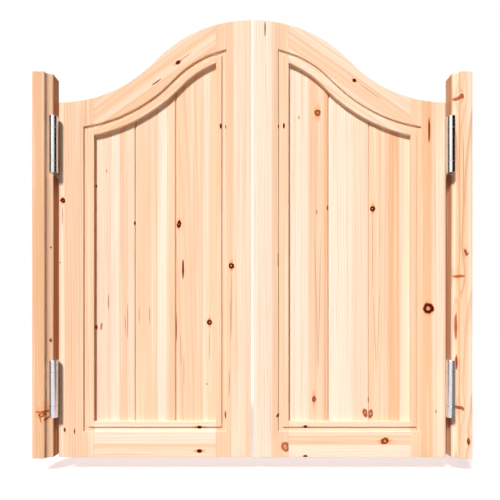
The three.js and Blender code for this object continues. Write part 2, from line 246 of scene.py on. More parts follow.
class PineFinish:
    """Light pine, planed and sanded, with a clear oil.

    The eye gets pale wood between thin darker year lines, long soft stripes,
    fine fibres along the grain and red-brown knots that the grain flows round.
    The fibres are drawn about three times as wide as real ones, to show.
    """

    # Sizes of the noises across and along the grain
    FIBRE_MM = (1.0, 60.0)
    HAIR_MM = (1.5, 210.0)
    STRIPE_MM = (8.0, 560.0)
    WAVE_MM = (60.0, 480.0)
    # How far the grain waves, the share of it in the seams between glued-up
    # strips, half a seam's width, and how far a knot pushes the grain at most
    WAVE_HEIGHT_MM = 7.0
    WAVE_IN_SEAMS = 0.12
    SEAM_BLUR_MM = 0.9
    MOST_BEND_MM = 4.0
    # Late wood through the year, at the year's end and from year to year
    LATE_WOOD = Rise(0.5, 0.93)
    YEAR_END = Rise(1.0, 0.92)
    YEAR_RANK = Rise(-0.2, 1.0)
    # Stripes, hairlines and fibres; each plank has its own strength of stripe
    DARK_STRIPE = (0.48, 0.75)
    PALE_STRIPE = Rise(0.5, 0.28, 0.55)
    DARK_HAIR = Rise(0.6, 0.82, 0.4)
    DARK_FIBRE = Rise(0.5, 0.8, 0.16)
    # Knots, in radii: the rim, the pale heart, the resin that runs from them,
    # the reach of their push across and along the grain, the ragged outline
    KNOT_RIM = Rise(1.35, 1.0)
    KNOT_HEART = Rise(0.0, 0.35)
    LEAST_RADIUS = 0.02
    FLAME = Rise(1.0, 0.3)
    FLAME_WIDTH = 1.4
    BEND_REACH = (2.2, 4.5)
    RAGGED = 0.9
    RAGGED_SCALE = 1.1
    # How a knot's sums become shares of its colours
    KNOT_SHADES = (
        ("Flame", "MULTIPLY", 0.85, Tint.PITCH),
        ("Mask", "POWER", 0.5, Tint.RESIN),
        ("Mask", "POWER", 3.0, Tint.KNOT_RIM),
    )
    SUMS = ("Mask", "Heart", "Flame", "Bend")
    # Surface: roughness between two levels of the fibres' noise, and relief
    ROUGHNESS = {1: 0.3, 2: 0.75, 3: 0.5, 4: 0.64}
    RELIEF = {"Strength": 0.25, "Distance": 0.12 * MM}
    LATE_RELIEF = 0.5
    SHEEN = 0.04

    def __init__(self) -> None:
        """Builds the node group that the knots share."""
        self.knot_group = self._make_knot_group()

    def _make_knot_group(self) -> bpy.types.NodeTree:
        """Makes the group that adds one knot to those before it.

        Returns:
            The node group.
        """
        tree = bpy.data.node_groups.new("pine_knot", "ShaderNodeTree")
        face = tree.interface
        for name in ("Vector", "Place"):
            face.new_socket(name, in_out="INPUT", socket_type="NodeSocketVector")
        for name in ("Radius", "Stretch", "Strength", "Core", "Tilt", "Reach", *self.SUMS):
            face.new_socket(name, in_out="INPUT", socket_type="NodeSocketFloat")
        for name in self.SUMS:
            face.new_socket(name, in_out="OUTPUT", socket_type="NodeSocketFloat")
        start = add_node(tree, "NodeGroupInput").outputs

        def in_radii(offset: object, wide: object, long: object) -> bpy.types.NodeSocket:
            """Adds an offset in knot radii, with each axis divided, and gives its socket."""
            sizes: dict[str, object] = {"Y": 1.0}
            for axis, share in (("X", wide), ("Z", long)):
                feeds = {0: start["Radius"], 1: share}
                sizes[axis] = add_node(tree, MATH, feeds, operation="MULTIPLY").outputs[0]
            size = add_node(tree, "ShaderNodeCombineXYZ", sizes).outputs[0]
            feeds = {0: offset, 1: size}
            return add_node(tree, VECTOR_MATH, feeds, operation="DIVIDE").outputs[0]

        # The place from the knot's middle, as it is and turned with the knot
        feeds = {0: start["Vector"], 1: start["Place"]}
        offset = add_node(tree, VECTOR_MATH, feeds, operation="SUBTRACT").outputs[0]
        feeds = {0: offset, 1: (1, 0, 1)}
        flat = add_node(tree, VECTOR_MATH, feeds, operation="MULTIPLY").outputs[0]
        feeds = {"Vector": flat, "Angle": start["Tilt"]}
        turned = add_node(tree, "ShaderNodeVectorRotate", feeds, rotation_type="Y_AXIS").outputs[0]
        shape = in_radii(turned, 1.0, start["Stretch"])

        # The ragged outline, the dark rim and the pale heart
        feeds = {0: shape, 1: start["Place"]}
        spot = add_node(tree, VECTOR_MATH, feeds, operation="ADD").outputs[0]
        feeds = {"Vector": spot, "Scale": self.RAGGED_SCALE, "Detail": 2.0}
        ragged = add_node(tree, "ShaderNodeTexNoise", feeds).outputs[0]
        ragged = add_node(tree, MATH, {0: ragged, 1: 0.5}, operation="SUBTRACT").outputs[0]
        ragged = add_node(tree, MATH, {0: ragged, 1: self.RAGGED}, operation="MULTIPLY").outputs[0]
        edge = add_node(tree, VECTOR_MATH, {0: shape}, operation="LENGTH").outputs["Value"]
        edge = add_node(tree, MATH, {0: edge, 1: ragged}, operation="ADD").outputs[0]
        rim = add_node(tree, MAP_RANGE, self.KNOT_RIM.of(edge), **SMOOTH).outputs[0]
        feeds = {0: edge, 1: self.LEAST_RADIUS}
        within = add_node(tree, MATH, feeds, operation="MAXIMUM").outputs[0]
        feeds = {0: start["Core"], 1: within}
        within = add_node(tree, MATH, feeds, operation="SUBTRACT").outputs[0]
        heart = add_node(tree, MAP_RANGE, self.KNOT_HEART.of(within), **SMOOTH).outputs[0]

        # The resin that runs along the grain, and the push on the year lines
        streak = in_radii(flat, self.FLAME_WIDTH, start["Reach"])
        streak = add_node(tree, VECTOR_MATH, {0: streak}, operation="LENGTH").outputs["Value"]
        streak = add_node(tree, MATH, {0: streak, 1: ragged}, operation="ADD").outputs[0]
        flame = add_node(tree, MAP_RANGE, self.FLAME.of(streak), **SMOOTH).outputs[0]
        far = in_radii(flat, *self.BEND_REACH)
        feeds = {0: far, 1: far}
        fall = add_node(tree, VECTOR_MATH, feeds, operation="DOT_PRODUCT").outputs["Value"]
        fall = add_node(tree, MATH, {0: fall, 1: -1.0}, operation="MULTIPLY").outputs[0]
        fall = add_node(tree, MATH, {0: fall}, operation="EXPONENT").outputs[0]
        feeds = {0: start["Radius"], 1: self.MOST_BEND_MM}
        push = add_node(tree, MATH, feeds, operation="MINIMUM").outputs[0]

        ends = {"Heart": heart}
        for name, share, by in (
            ("Mask", rim, start["Strength"]),
            ("Flame", flame, start["Strength"]),
            ("Bend", fall, push),
        ):
            ends[name] = add_node(tree, MATH, {0: share, 1: by}, operation="MULTIPLY").outputs[0]
        for name, value in ends.items():
            join = "ADD" if name == "Bend" else "MAXIMUM"
            feeds = {0: start[name], 1: value}
            ends[name] = add_node(tree, MATH, feeds, operation=join).outputs[0]
        add_node(tree, "NodeGroupOutput", ends)
        return tree

    def _add_knots(
        self, tree: bpy.types.NodeTree, grain: bpy.types.NodeSocket, plank: Plank, middle: Vector
    ) -> dict[str, object]:
        """Adds a plank's knots, one to the next.

        Args:
            tree: the material's tree.
            grain: the place in the grain's own frame, mm.
            plank: the wood.
            middle: the piece's middle, mm.

        Returns:
            The knots' sums by name, or zeros where there is no knot.
        """
        turn = plank.turn.to_matrix()
        sums: dict[str, object] = {key: 0.0 for key in self.SUMS}
        for knot in plank.knots:
            feeds = {
                "Vector": grain,
                "Place": turn @ (Vector((knot.across, 0.0, knot.height)) - middle),
                "Radius": knot.radius,
                "Stretch": knot.stretch,
                "Strength": knot.strength,
                "Core": knot.heart,
                "Tilt": math.radians(knot.tilt),
                "Reach": knot.flame,
            }
            group = add_node(tree, "ShaderNodeGroup", feeds | sums, node_tree=self.knot_group)
            sums = {key: group.outputs[key] for key in self.SUMS}
        return sums

    def _add_year_lines(
        self,
        tree: bpy.types.NodeTree,
        grain: bpy.types.NodeSocket,
        plank: Plank,
        pushes: tuple[object, object],
    ) -> bpy.types.NodeSocket:
        """Adds growth rings about the pith.

        Args:
            tree: the material's tree.
            grain: the place in the grain's own frame, mm.
            plank: the wood.
            pushes: the grain's wave and the knots' push, mm.

        Returns:
            How much late wood there is.
        """
        feeds = {
            "Vector": grain,
            "Location": (-plank.pith[0], -plank.pith[1], 0.0),
            "Rotation": (math.radians(plank.twist[1]), math.radians(plank.twist[0]), 0.0),
        }
        log = add_node(tree, "ShaderNodeMapping", feeds).outputs[0]
        feeds = {0: log, 1: (1.0, 1.0, 0.0)}
        disc = add_node(tree, VECTOR_MATH, feeds, operation="MULTIPLY").outputs[0]
        away = add_node(tree, VECTOR_MATH, {0: disc}, operation="LENGTH").outputs["Value"]
        for push in pushes:
            away = add_node(tree, MATH, {0: away, 1: push}, operation="ADD").outputs[0]
        year = add_node(tree, MATH, {0: away, 1: plank.ring}, operation="DIVIDE").outputs[0]
        season = add_node(tree, MATH, {0: year}, operation="FRACT").outputs[0]
        count = add_node(tree, MATH, {0: year}, operation="FLOOR").outputs[0]
        luck = add_node(tree, "ShaderNodeTexWhiteNoise", {"W": count}, noise_dimensions="1D")
        rank = luck.outputs["Value"]
        late = add_node(tree, MAP_RANGE, self.LATE_WOOD.of(season), **SMOOTH).outputs[0]
        for feeds in (self.YEAR_END.of(season), self.YEAR_RANK.of(rank)):
            share = add_node(tree, MAP_RANGE, feeds, **SMOOTH).outputs[0]
            late = add_node(tree, MATH, {0: late, 1: share}, operation="MULTIPLY").outputs[0]
        return late

    def _add_strips(
        self,
        tree: bpy.types.NodeTree,
        side: bpy.types.NodeSocket,
        marks: list[tuple[float, Tint]],
        half: float,
    ) -> bpy.types.NodeSocket:
        """Adds the colours of the glued-up strips and of the painted shade in the hinge gaps.

        Args:
            tree: the material's tree.
            side: the place across the strips, mm.
            marks: place and tint of each stop.
            half: half the ramp's length, mm.

        Returns:
            The colour.
        """
        feeds = {"Value": side, 1: -half, 2: half}
        share = add_node(tree, MAP_RANGE, feeds).outputs[0]
        ramp = add_node(tree, "ShaderNodeValToRGB", {0: share})
        stops = ramp.color_ramp.elements
        while len(stops) < len(marks):
            stops.new(0.5)
        for stop, (place, tint) in zip(stops, marks):
            stop.position = place
            stop.color = linear(tint.value)
        return ramp.outputs[0]

    def material(self, name: str, plank: Plank, low: Vector, high: Vector) -> bpy.types.Material:
        """Makes the pine of one piece.

        Args:
            name: the piece's name.
            plank: the wood it is made from.
            low: the piece's lowest corner, metres.
            high: the piece's highest corner, metres.

        Returns:
            The material.
        """
        material, tree = new_material(f"planed_pine_{name}")
        middle, half = (low + high) / 2 / MM, max(high - low) / MM / 2

        # The grain's own frame: millimetres from the piece's middle, Z along the fibres
        feeds = {
            "Vector": add_node(tree, "ShaderNodeTexCoord").outputs["Object"],
            "Location": -(plank.turn.to_matrix() @ middle),
            "Rotation": plank.turn,
            "Scale": (1 / MM,) * 3,
        }
        grain = add_node(tree, "ShaderNodeMapping", feeds).outputs[0]
        noises = []
        for size, offset, detail in (
            (self.WAVE_MM, 1.0, 2.0),
            (self.FIBRE_MM, 5.0, 3.0),
            (self.HAIR_MM, 7.0, 1.0),
            (self.STRIPE_MM, 9.0, 2.0),
        ):
            feeds = {
                "Vector": grain,
                "Location": (plank.seed + offset, offset * 3.7, plank.seed * 1.9),
                "Scale": (1 / size[0], 1 / size[0], 1 / size[1]),
            }
            spot = add_node(tree, "ShaderNodeMapping", feeds).outputs[0]
            feeds = {"Vector": spot, "Scale": 1.0, "Detail": detail, "Roughness": 0.55}
            noises.append(add_node(tree, "ShaderNodeTexNoise", feeds).outputs[0])
        wave, fibre, hair, stripe = noises
        wave = add_node(tree, MATH, {0: wave, 1: 0.5}, operation="SUBTRACT").outputs[0]
        feeds = {0: wave, 1: self.WAVE_HEIGHT_MM}
        wave = add_node(tree, MATH, feeds, operation="MULTIPLY").outputs[0]
        knots = self._add_knots(tree, grain, plank, middle)
        late = self._add_year_lines(tree, grain, plank, (wave, knots["Bend"]))

        # Colour: glued-up strips with painted shade on the hinge-gap faces, stripes, year lines,
        # hairlines, fibres, then knots
        side = add_node(tree, "ShaderNodeSeparateXYZ", {0: grain}).outputs["X"]
        feeds = {0: wave, 1: self.WAVE_IN_SEAMS}
        aside = add_node(tree, MATH, feeds, operation="MULTIPLY").outputs[0]
        side = add_node(tree, MATH, {0: side, 1: aside}, operation="ADD").outputs[0]
        if plank.lean > 0:
            side = add_node(tree, MATH, {0: side, 1: -1.0}, operation="MULTIPLY").outputs[0]
        marks = plank.marks(middle, half, self.SEAM_BLUR_MM)
        colour = self._add_strips(tree, side, marks, half)
        dark, pale, hairs, fibres = (
            add_node(tree, MAP_RANGE, rise.of(value), **SMOOTH).outputs[0]
            for rise, value in (
                (Rise(*self.DARK_STRIPE, plank.streak), stripe),
                (self.PALE_STRIPE, stripe),
                (self.DARK_HAIR, hair),
                (self.DARK_FIBRE, fibre),
            )
        )
        lines = add_node(tree, MATH, {0: late, 1: plank.lines}, operation="MULTIPLY").outputs[0]
        layers = [
            (dark, Tint.HONEY),
            (pale, Tint.SAPWOOD),
            (lines, Tint.LATEWOOD),
            (hairs, Tint.LATEWOOD),
            (fibres, Tint.AMBER),
        ]
        if plank.knots:
            for key, way, amount, tint in self.KNOT_SHADES:
                feeds = {0: knots[key], 1: amount}
                layers.append((add_node(tree, MATH, feeds, operation=way).outputs[0], tint))
            layers.append((knots["Heart"], Tint.KNOT_HEART))
        for factor, tint in layers:
            feeds = {"Factor": factor, 6: colour, 7: linear(tint.value)}
            colour = add_node(tree, "ShaderNodeMix", feeds, data_type="RGBA").outputs[2]

        feeds = {0: late, 1: self.LATE_RELIEF}
        height = add_node(tree, MATH, feeds, operation="MULTIPLY").outputs[0]
        height = add_node(tree, MATH, {0: height, 1: fibre}, operation="ADD").outputs[0]
        feeds = {
            "Base Color": colour,
            "Roughness": add_node(tree, MAP_RANGE, {"Value": fibre} | self.ROUGHNESS).outputs[0],
            "Normal": add_node(tree, "ShaderNodeBump", {"Height": height} | self.RELIEF).outputs[0],
            "Specular IOR Level": self.SHEEN,
        }
        surface = add_node(tree, "ShaderNodeBsdfPrincipled", feeds).outputs[0]
        add_node(tree, "ShaderNodeOutputMaterial", {"Surface": surface})
        return material


# Metal


@dataclass(frozen=True)
class SteelFinish:
    """Steel, drawn and rubbed along its length.

    The eye gets a bright band of light along each barrel between dark ones,
    with fine upright rubbing marks and duller handled patches.

    Attributes:
        name: the material's name.
        colour: the metal's own colour.
        roughness: the smoothest and the dullest places.
        rub_mm: width and length of the rubbing marks; the width is drawn
            coarser than real grit so that it shows.
        rub_depth_mm: depth of the rubbing marks.
        rub_relief: how strongly they show.
        patch_mm: size of the duller patches.
        dulled: brightness of the metal in them.
        levels: sum of both noises where the metal is smoothest and dullest.
    """

    name: str
    colour: str
    roughness: tuple[float, float]
    rub_mm: tuple[float, float] = (0.5, 22.0)
    rub_depth_mm: float = 0.05
    rub_relief: float = 0.05
    patch_mm: float = 14.0
    dulled: float = 0.9
    levels: tuple[float, float] = (0.7, 1.3)

    def material(self) -> bpy.types.Material:
        """Makes the steel.

        Returns:
            The material.
        """
        material, tree = new_material(self.name)
        point = add_node(tree, "ShaderNodeTexCoord").outputs["Object"]
        wide, long = (1 / (size * MM) for size in self.rub_mm)
        feeds = {"Vector": point, "Scale": (wide, wide, long)}
        lined = add_node(tree, "ShaderNodeMapping", feeds).outputs[0]
        feeds = {"Vector": lined, "Scale": 1.0, "Detail": 2.0}
        rub = add_node(tree, "ShaderNodeTexNoise", feeds).outputs[0]
        feeds = {"Vector": point, "Scale": 1 / (self.patch_mm * MM), "Detail": 3.0}
        patch = add_node(tree, "ShaderNodeTexNoise", feeds).outputs[0]
        both = add_node(tree, MATH, {0: rub, 1: patch}, operation="ADD").outputs[0]
        feeds = {"Value": both} | dict(enumerate((*self.levels, *self.roughness), 1))
        rough = add_node(tree, MAP_RANGE, feeds).outputs[0]
        bright = linear(self.colour)
        dull = (*(self.dulled * channel for channel in bright[:3]), 1.0)
        feeds = {"Factor": patch, 6: bright, 7: dull}
        colour = add_node(tree, "ShaderNodeMix", feeds, data_type="RGBA").outputs[2]
        feeds = {"Height": rub, "Strength": self.rub_relief, "Distance": self.rub_depth_mm * MM}
        bump = add_node(tree, "ShaderNodeBump", feeds).outputs[0]
        feeds = {"Base Color": colour, "Metallic": 1.0, "Roughness": rough, "Normal": bump}
        surface = add_node(tree, "ShaderNodeBsdfPrincipled", feeds).outputs[0]
        add_node(tree, "ShaderNodeOutputMaterial", {"Surface": surface})
        return material


# Drawn steel, satin rubbed: nearly a mirror, softened along the barrel
SATIN_STEEL = SteelFinish("satin_drawn_steel", "#E4E4E8", (0.18, 0.25))
# Spring wire, oiled: dark grey with a dull shine
OILED_SPRING_STEEL = SteelFinish("oiled_spring_steel", "#6A6B70", (0.35, 0.5))
# Screws, zinc plated: a little yellower and duller than the hinges
ZINC_SCREW_STEEL = SteelFinish("zinc_plated_screw_steel", "#C4C2BB", (0.2, 0.32))


# Shapes


@dataclass(frozen=True)
class Barrels:
    """The hinge barrels, whose facets are made fine enough to look turned.

    Attributes:
        axis_y: distance of the axes from the middle of the thickness, metres.
        radius: the barrels' radius, metres.
        cuts: new points in each facet's rim.
        slack: how far a rim's corner may be off the radius, metres.
    """

    axis_y: float = 25 * MM
    radius: float = 9.5 * MM
    cuts: int = 2
    slack: float = 0.02 * MM

    def _offset(self, point: Vector) -> Vector:
        """Gives a point's offset from the nearest barrel's axis."""
        axis = (math.copysign(BARREL_X, point.x), math.copysign(self.axis_y, point.y))
        return point.xy - Vector(axis)

    def _on_rim(self, edge: bmesh.types.BMEdge) -> bool:
        """Tells whether an edge is one facet's share of a barrel's rim."""
        first, second = (vert.co for vert in edge.verts)
        if abs(first.z - second.z) > self.slack:
            return False
        gaps = (self._offset(point).length - self.radius for point in (first, second))
        return all(abs(gap) < self.slack for gap in gaps)

    def make_round(self, work: bmesh.types.BMesh) -> None:
        """Cuts the barrels' facets finer and moves the new corners out.

        Args:
            work: a hinge piece's mesh.
        """
        rims = [edge for edge in work.edges if self._on_rim(edge)]
        if not rims:
            return
        made = bmesh.ops.subdivide_edges(work, edges=rims, cuts=self.cuts, use_grid_fill=True)
        for vert in (part for part in made["geom_inner"] if isinstance(part, bmesh.types.BMVert)):
            offset = self._offset(vert.co)
            vert.co.xy += offset.normalized() * (self.radius - offset.length)


@dataclass(frozen=True)
class Channel:
    """The channel round a leaf's panel, whose walls are made crisp and steep.

    Attributes:
        face: distance of a leaf's faces from the middle of its thickness, metres.
        floor: distance of the channel's floor from there, metres.
        steepness: share of the walls' slope that is taken out.
        slack: how far a corner may be off its level, metres.
    """

    face: float = 14 * MM
    floor: float = 10.4 * MM
    steepness: float = 0.85
    slack: float = 0.02 * MM

    def _lies_at(self, vert: bmesh.types.BMVert, level: float) -> bool:
        """Tells whether a corner lies at a level of either face."""
        return abs(abs(vert.co.y) - level) < self.slack

    def make_steep(self, work: bmesh.types.BMesh) -> None:
        """Moves the edges of the channel's floor toward its rims.

        Args:
            work: the mesh of a leaf's piece.
        """
        moves = []
        for vert in (vert for vert in work.verts if self._lies_at(vert, self.floor)):
            ends = (edge.other_vert(vert) for edge in vert.link_edges)
            rims = [end.co - vert.co for end in ends if self._lies_at(end, self.face)]
            if rims:
                rim = min(rims, key=lambda offset: offset.length)
                moves.append((vert, Vector((rim.x, 0.0, rim.z)) * self.steepness))
        for vert, move in moves:
            vert.co += move


@dataclass(frozen=True)
class Easing:
    """How the arrises of a copied piece are taken off.

    Attributes:
        width: width of the rounding, metres.
        corner: edges sharper than this get it, degrees.
        smooth: edges flatter than this are shaded round, degrees.
        least: shortest edge that is eased, in widths of the rounding.
        merge: corners nearer than this are one, metres.
        flat: faces that meet at less than this are one, degrees.
        glued: places across the doors' width, metres, of glued joints, which
            were planed flush and stay sharp.
        barrels: the turned barrels of a hinge, if it has them.
        channel: the channel round a leaf's panel, if it has one.
    """

    width: float
    corner: float = 32.0
    smooth: float = 20.0
    least: float = 2.5
    merge: float = 0.002 * MM
    flat: float = 0.3
    glued: tuple[float, ...] = ()
    barrels: Barrels | None = None
    channel: Channel | None = None

    def _takes(self, edge: bmesh.types.BMEdge) -> bool:
        """Tells whether an edge is an outer arris that gets eased.

        Args:
            edge: an edge of the copied mesh.

        Returns:
            True if it is sharp, long enough and not at a glued joint.
        """
        if len(edge.link_faces) != 2 or edge.calc_length() < self.least * self.width:
            return False
        middle = (edge.verts[0].co + edge.verts[1].co) / 2
        if any(abs(abs(middle.x) - place) < self.width for place in self.glued):
            return False
        return edge.calc_face_angle_signed(0.0) > math.radians(self.corner)

    def copy(self, source: bpy.types.Object, name: str) -> bpy.types.Object:
        """Copies a node's shape and eases its outer edges.

        Args:
            source: the frame's node.
            name: the new piece's name.

        Returns:
            The new piece, at the origin.
        """
        work = bmesh.new()
        work.from_mesh(source.data)
        bmesh.ops.remove_doubles(work, verts=work.verts, dist=self.merge)
        flat = math.radians(self.flat)
        bmesh.ops.dissolve_limit(work, angle_limit=flat, verts=work.verts, edges=work.edges)
        if self.barrels:
            self.barrels.make_round(work)
        if self.channel:
            self.channel.make_steep(work)
        weight = work.edges.layers.float.new("bevel_weight_edge")
        for edge in work.edges:
            edge[weight] = 1.0 if self._takes(edge) else 0.0
        rough = bpy.data.meshes.new(name)
        work.to_mesh(rough)
        work.free()
        piece = bpy.data.objects.new(name, rough)
        bpy.context.collection.objects.link(piece)
        ease = piece.modifiers.new("eased_arris", "BEVEL")
        ease.limit_method = "WEIGHT"
        ease.width = self.width
        ease.segments = 2
        ease.use_clamp_overlap = False
        take_evaluated(piece)
        shade_round(piece.data, self.smooth)
        return piece


def take_evaluated(piece: bpy.types.Object) -> None:
    """Makes a piece's evaluated shape its plain mesh, without modifiers.

    Args:
        piece: an object with modifiers.
    """
    graph = bpy.context.evaluated_depsgraph_get()
    mesh = bpy.data.meshes.new_from_object(piece.evaluated_get(graph))
    before = piece.data
    piece.modifiers.clear()
    piece.data = mesh
    bpy.data.meshes.remove(before)
    mesh.name = piece.name


def shade_round(mesh: bpy.types.Mesh, angle: float) -> None:
    """Shades a mesh smooth, with sharp edges kept.

    Args:
        mesh: the mesh.
        angle: edges sharper than this stay sharp, degrees.
    """
    for polygon in mesh.polygons:
        polygon.use_smooth = True
    mesh.set_sharp_from_angle(angle=math.radians(angle))


def finish_piece(
    piece: bpy.types.Object, material: bpy.types.Material, body: str, node: str = ""
) -> None:
    """Dresses a piece and gives it to the frame.

    Args:
        piece: the finished mesh object.
        material: its finish.
        body: the frame's body that it rides on.
        node: the frame's node that it stands for, if any.
    """
    piece.data.materials.clear()
    piece.data.materials.append(material)
    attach(piece, body)
    if node:
        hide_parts(node)
    LOG.info("%s rides on %s", piece.name, body)


class Slot(Enum):
    """The record's material slots."""

    PINE = "pine"
    HINGE = "hinge_steel"


class Side(Enum):
    """The two halves of the pair."""

    LEFT = "left"
    RIGHT = "right"

    @property
    def leaf(self) -> str:
        """Name of the leaf's body."""
        return f"{self.value}_leaf"

    @property
    def way(self) -> float:
        """Which way the post lies from the middle, along +X."""
        return -1.0 if self is Side.LEFT else 1.0


class HingePlace(Enum):
    """The two hinges of a leaf, by their middle's height, metres."""

    UPPER = 0.692
    LOWER = 0.154

    @property
    def word(self) -> str:
        """The place's word in node names."""
        return self.name.lower()


POST_EASING = Easing(0.8 * MM)
LEAF_EASING = Easing(0.8 * MM, glued=(0.081, 0.354), channel=Channel())
METAL_EASING = Easing(0.45 * MM, 40.0, 21.0, barrels=Barrels())


class GeometryTree:
    """A geometry node tree with named inputs, and what runs it."""

    def __init__(self, name: str, inputs: dict[str, str]) -> None:
        """Starts the tree.

        Args:
            name: the tree's name.
            inputs: socket type of each input, by name.
        """
        self.tree = bpy.data.node_groups.new(name, "GeometryNodeTree")
        face = self.tree.interface
        face.new_socket("Geometry", in_out="OUTPUT", socket_type="NodeSocketGeometry")
        self.keys = {
            key: face.new_socket(key, in_out="INPUT", socket_type=kind).identifier
            for key, kind in inputs.items()
        }
        self.start = add_node(self.tree, "NodeGroupInput").outputs

    def close(self, shape: bpy.types.NodeSocket) -> None:
        """Ends the tree in Realize Instances and Set Material.

        Args:
            shape: the finished geometry.
        """
        feeds = {"Geometry": shape}
        whole = add_node(self.tree, "GeometryNodeRealizeInstances", feeds).outputs[0]
        feeds = {"Geometry": whole, "Material": self.start["Material"]}
        dressed = add_node(self.tree, "GeometryNodeSetMaterial", feeds).outputs[0]
        add_node(self.tree, "NodeGroupOutput", {"Geometry": dressed})

    def run(self, piece: bpy.types.Object, values: dict[str, object]) -> None:
        """Runs the tree on a piece and keeps the result as a plain mesh.

        Args:
            piece: the object that carries the modifier.
            values: the inputs' values by name.
        """
        modifier = piece.modifiers.new(self.tree.name, "NODES")
        modifier.node_group = self.tree
        for key, value in values.items():
            modifier[self.keys[key]] = value
        take_evaluated(piece)


@dataclass
class Screws:
    """Raised-head wood screws of one body.

    Attributes:
        body: the body that they hold a flange to.
        places: middle of each head's underside, metres.
        facings: way that each head looks along +X.
        head_radius: radius of the head, metres.
        dome: height of the head, metres.
        neck_radius: radius of the neck in the flange's hole, metres.
        neck: length of the neck, metres.
        recess_width: width of the cross recess, metres.
        recess_depth: depth of the cross recess, metres.
        spin: turn of the recess from one screw to the next, radians.
        smooth: edges flatter than this are shaded round, degrees.
    """

    # Facets round the head and over it, and round the neck
    HEAD_FACETS: ClassVar[dict[str, int]] = {"Segments": 28, "Rings": 14}
    NECK_FACETS: ClassVar[int] = 24
    # In head radii, the block that cuts the ball in half and the recess's arms
    BLOCK: ClassVar[float] = 3.0
    ARM: ClassVar[float] = 1.15
    # How far the neck goes on into the head, in neck lengths
    SUNK: ClassVar[float] = 0.2

    body: str
    places: list[Vector] = field(default_factory=list)
    facings: list[float] = field(default_factory=list)
    head_radius: float = 4.3 * MM
    dome: float = 1.1 * MM
    neck_radius: float = 2.3 * MM
    neck: float = 2.4 * MM
    recess_width: float = 1.0 * MM
    recess_depth: float = 0.8 * MM
    spin: float = 1.9
    smooth: float = 30.0

    @classmethod
    def tree(cls) -> GeometryTree:
        """Makes the tree that puts one screw on every point.

        Returns:
            The tree.
        """
        sizes = ("Head Radius", "Dome", "Neck Radius", "Neck", "Recess Width", "Recess Depth")
        inputs = {"Points": "NodeSocketGeometry", "Material": "NodeSocketMaterial"}
        inputs |= {key: "NodeSocketFloat" for key in sizes}
        tree = GeometryTree("raised_head_screws", inputs)
        nodes, start = tree.tree, tree.start
        radius, dome, neck_radius, neck, wide, deep = (start[key] for key in sizes)
        block, arm, tall, half_block, length, sink = (
            add_node(nodes, MATH, {0: size, 1: share}, operation="MULTIPLY").outputs[0]
            for size, share in (
                (radius, cls.BLOCK),
                (radius, cls.ARM),
                (deep, 2.0),
                (radius, -cls.BLOCK / 2),
                (neck, 1 + cls.SUNK),
                (neck, (cls.SUNK - 1) / 2),
            )
        )
        feeds = {0: dome, 1: radius}
        squash = add_node(nodes, MATH, feeds, operation="DIVIDE").outputs[0]
        squash, block, along, across, below, down, up = (
            add_node(nodes, "ShaderNodeCombineXYZ", dict(enumerate(point))).outputs[0]
            for point in (
                (1.0, 1.0, squash),
                (block, block, block),
                (arm, wide, tall),
                (wide, arm, tall),
                (0.0, 0.0, half_block),
                (0.0, 0.0, sink),
                (0.0, 0.0, dome),
            )
        )

        # A flattened ball, a stem, the block under the head and the recess's arms
        feeds = cls.HEAD_FACETS | {"Radius": radius}
        ball = add_node(nodes, "GeometryNodeMeshUVSphere", feeds).outputs[0]
        feeds = {"Vertices": cls.NECK_FACETS, "Radius": neck_radius, "Depth": length}
        stem = add_node(nodes, "GeometryNodeMeshCylinder", feeds).outputs[0]
        cubes = [
            add_node(nodes, "GeometryNodeMeshCube", {"Size": size}).outputs[0]
            for size in (block, along, across)
        ]
        cap, stem, under, *arms = (
            add_node(nodes, "GeometryNodeTransform", {"Geometry": shape, key: value}).outputs[0]
            for shape, key, value in (
                (ball, "Scale", squash),
                (stem, "Translation", down),
                (cubes[0], "Translation", below),
                (cubes[1], "Translation", up),
                (cubes[2], "Translation", up),
            )
        )
        boolean = "GeometryNodeMeshBoolean"
        feeds = {"Mesh 1": cap, "Mesh 2": under}
        head = add_node(nodes, boolean, feeds, operation="DIFFERENCE").outputs[0]
        whole = add_node(nodes, boolean, {"Mesh 2": [head, stem]}, operation="UNION").outputs[0]
        feeds = {"Mesh 1": whole, "Mesh 2": arms}
        screw = add_node(nodes, boolean, feeds, operation="DIFFERENCE").outputs[0]
        turn = add_node(
            nodes, "GeometryNodeInputNamedAttribute", {"Name": "turn"}, data_type="FLOAT_VECTOR"
        )
        turn = add_node(nodes, "FunctionNodeEulerToRotation", {0: turn.outputs[0]}).outputs[0]
        feeds = {"Points": start["Points"], "Instance": screw, "Rotation": turn}
        tree.close(add_node(nodes, "GeometryNodeInstanceOnPoints", feeds).outputs[0])
        return tree

    def build(self, tree: GeometryTree, steel: bpy.types.Material) -> None:
        """Puts the screws in and gives them to the frame.

        Args:
            tree: the screws' tree.
            steel: their finish.
        """
        mesh = bpy.data.meshes.new("points")
        mesh.from_pydata(self.places, [], [])
        turns = mesh.attributes.new("turn", "FLOAT_VECTOR", "POINT")
        for index, facing in enumerate(self.facings):
            spin = Euler((0.0, 0.0, self.spin * index)).to_matrix()
            lay = Euler((0.0, facing * math.pi / 2, 0.0)).to_matrix()
            turns.data[index].vector = (lay @ spin).to_euler()
        piece = bpy.data.objects.new(f"{self.body}_screws", mesh)
        bpy.context.collection.objects.link(piece)
        values = {
            "Material": steel,
            "Head Radius": self.head_radius,
            "Dome": self.dome,
            "Neck Radius": self.neck_radius,
            "Neck": self.neck,
            "Recess Width": self.recess_width,
            "Recess Depth": self.recess_depth,
        }
        tree.run(piece, values)
        shade_round(piece.data, self.smooth)
        finish_piece(piece, steel, self.body)


